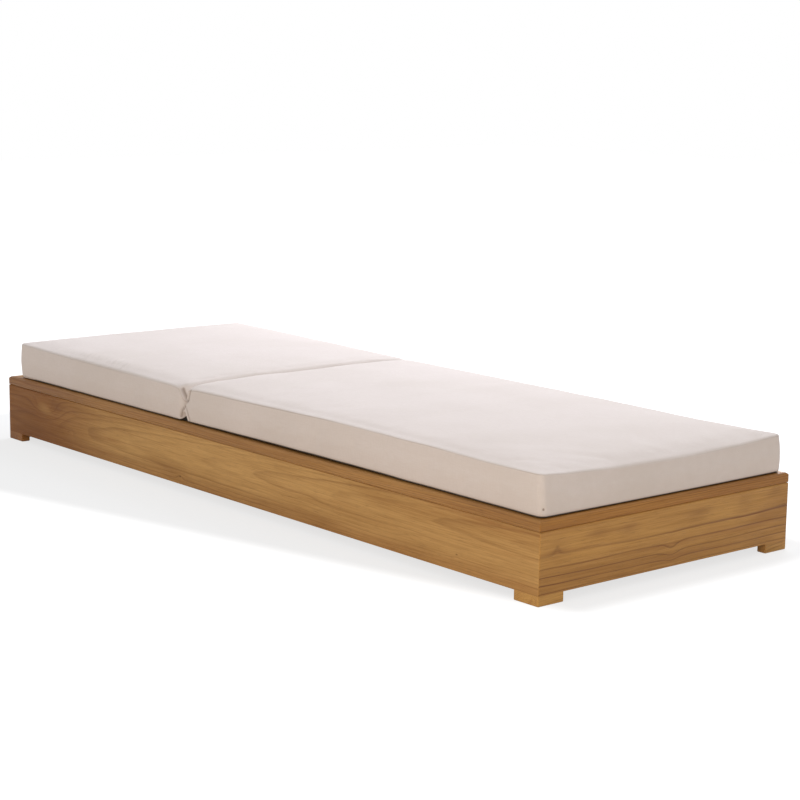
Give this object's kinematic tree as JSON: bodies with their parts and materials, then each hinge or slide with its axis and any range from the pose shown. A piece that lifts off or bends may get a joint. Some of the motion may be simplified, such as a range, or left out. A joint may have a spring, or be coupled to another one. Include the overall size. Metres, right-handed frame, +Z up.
{
  "type": "chaise lounger",
  "caption": "Low platform chaise lounger: mitred wooden frame on corner feet, slatted decks, a lifting back on a prop, and one long folding cushion.",
  "frame": {"origin": "on the floor under the middle of the frame", "axes": "+X along the length to the foot end, +Y to the left side of someone who sits on it and looks to the foot end, +Z up"},
  "size_m": [2.03, 0.735, 0.257],
  "materials": {
    "teak": "satin",
    "foot_teak": "satin",
    "deck_teak": "satin",
    "inner_teak": "matte",
    "cushion_fabric": "matte",
    "foam": "matte",
    "stainless_steel": "satin",
    "zip_nylon": "satin",
    "washer_nylon": "matte"
  },
  "bodies": {
    "frame": {"apron_right": "teak", "apron_left": "teak", "apron_head": "teak", "apron_foot": "teak", "rim_right": "teak", "rim_left": "teak", "rim_head": "teak", "rim_foot": "teak", "foot_head_right": "foot_teak", "foot_head_left": "foot_teak", "foot_foot_right": "foot_teak", "foot_foot_left": "foot_teak", "corner_blocks": "inner_teak", "corner_screws": "stainless_steel", "foot_screws": "stainless_steel", "ledge_right": "inner_teak", "ledge_left": "inner_teak", "cross_rail_hinge": "inner_teak", "cross_rail_middle": "inner_teak", "side_screws": "stainless_steel", "slat_screws": "stainless_steel", "head_cleat": "inner_teak", "pivot_block_right": "inner_teak", "pivot_block_left": "inner_teak", "pivot_bolts": "stainless_steel", "pivot_washers": "washer_nylon", "prop_rack_right": "inner_teak", "prop_rack_left": "inner_teak", "seat_cushion_cover": "cushion_fabric", "seat_cushion_foam": "foam", "cushion_fold": "cushion_fabric", "seat_slat_1": "deck_teak", "seat_slat_2": "deck_teak", "seat_slat_3": "deck_teak", "seat_slat_4": "deck_teak", "seat_slat_5": "deck_teak", "seat_slat_6": "deck_teak", "seat_slat_7": "deck_teak", "seat_slat_8": "deck_teak", "seat_slat_9": "deck_teak", "seat_slat_10": "deck_teak"},
    "backrest": {"back_stile_right": "deck_teak", "back_stile_left": "deck_teak", "back_rail_hinge": "deck_teak", "back_rail_head": "deck_teak", "prop_brackets": "inner_teak", "prop_pins": "stainless_steel", "back_cushion_cover": "cushion_fabric", "back_cushion_foam": "foam", "cushion_zip": "zip_nylon", "back_slat_1": "deck_teak", "back_slat_2": "deck_teak", "back_slat_3": "deck_teak", "back_slat_4": "deck_teak", "back_slat_5": "deck_teak", "back_slat_6": "deck_teak"},
    "prop": {"prop_arm_right": "inner_teak", "prop_arm_left": "inner_teak", "prop_bar": "stainless_steel"}
  },
  "joints": [
    {"name": "back_lift", "type": "hinge", "parent": "frame", "child": "backrest", "pos_m": [-0.222, 0, 0.154], "axis": [0, 1, 0], "range_deg": [0, 60], "deforming": ["cushion_fold"]},
    {"name": "prop_swing", "type": "hinge", "parent": "backrest", "child": "prop", "pos_m": [-0.55215, 0, 0.132], "axis": [0, 1, 0], "range_deg": [-120, 0]}
  ],
  "couplings": [
    {"joint": "prop_swing", "follows": "back_lift", "ratio": -2}
  ]
}
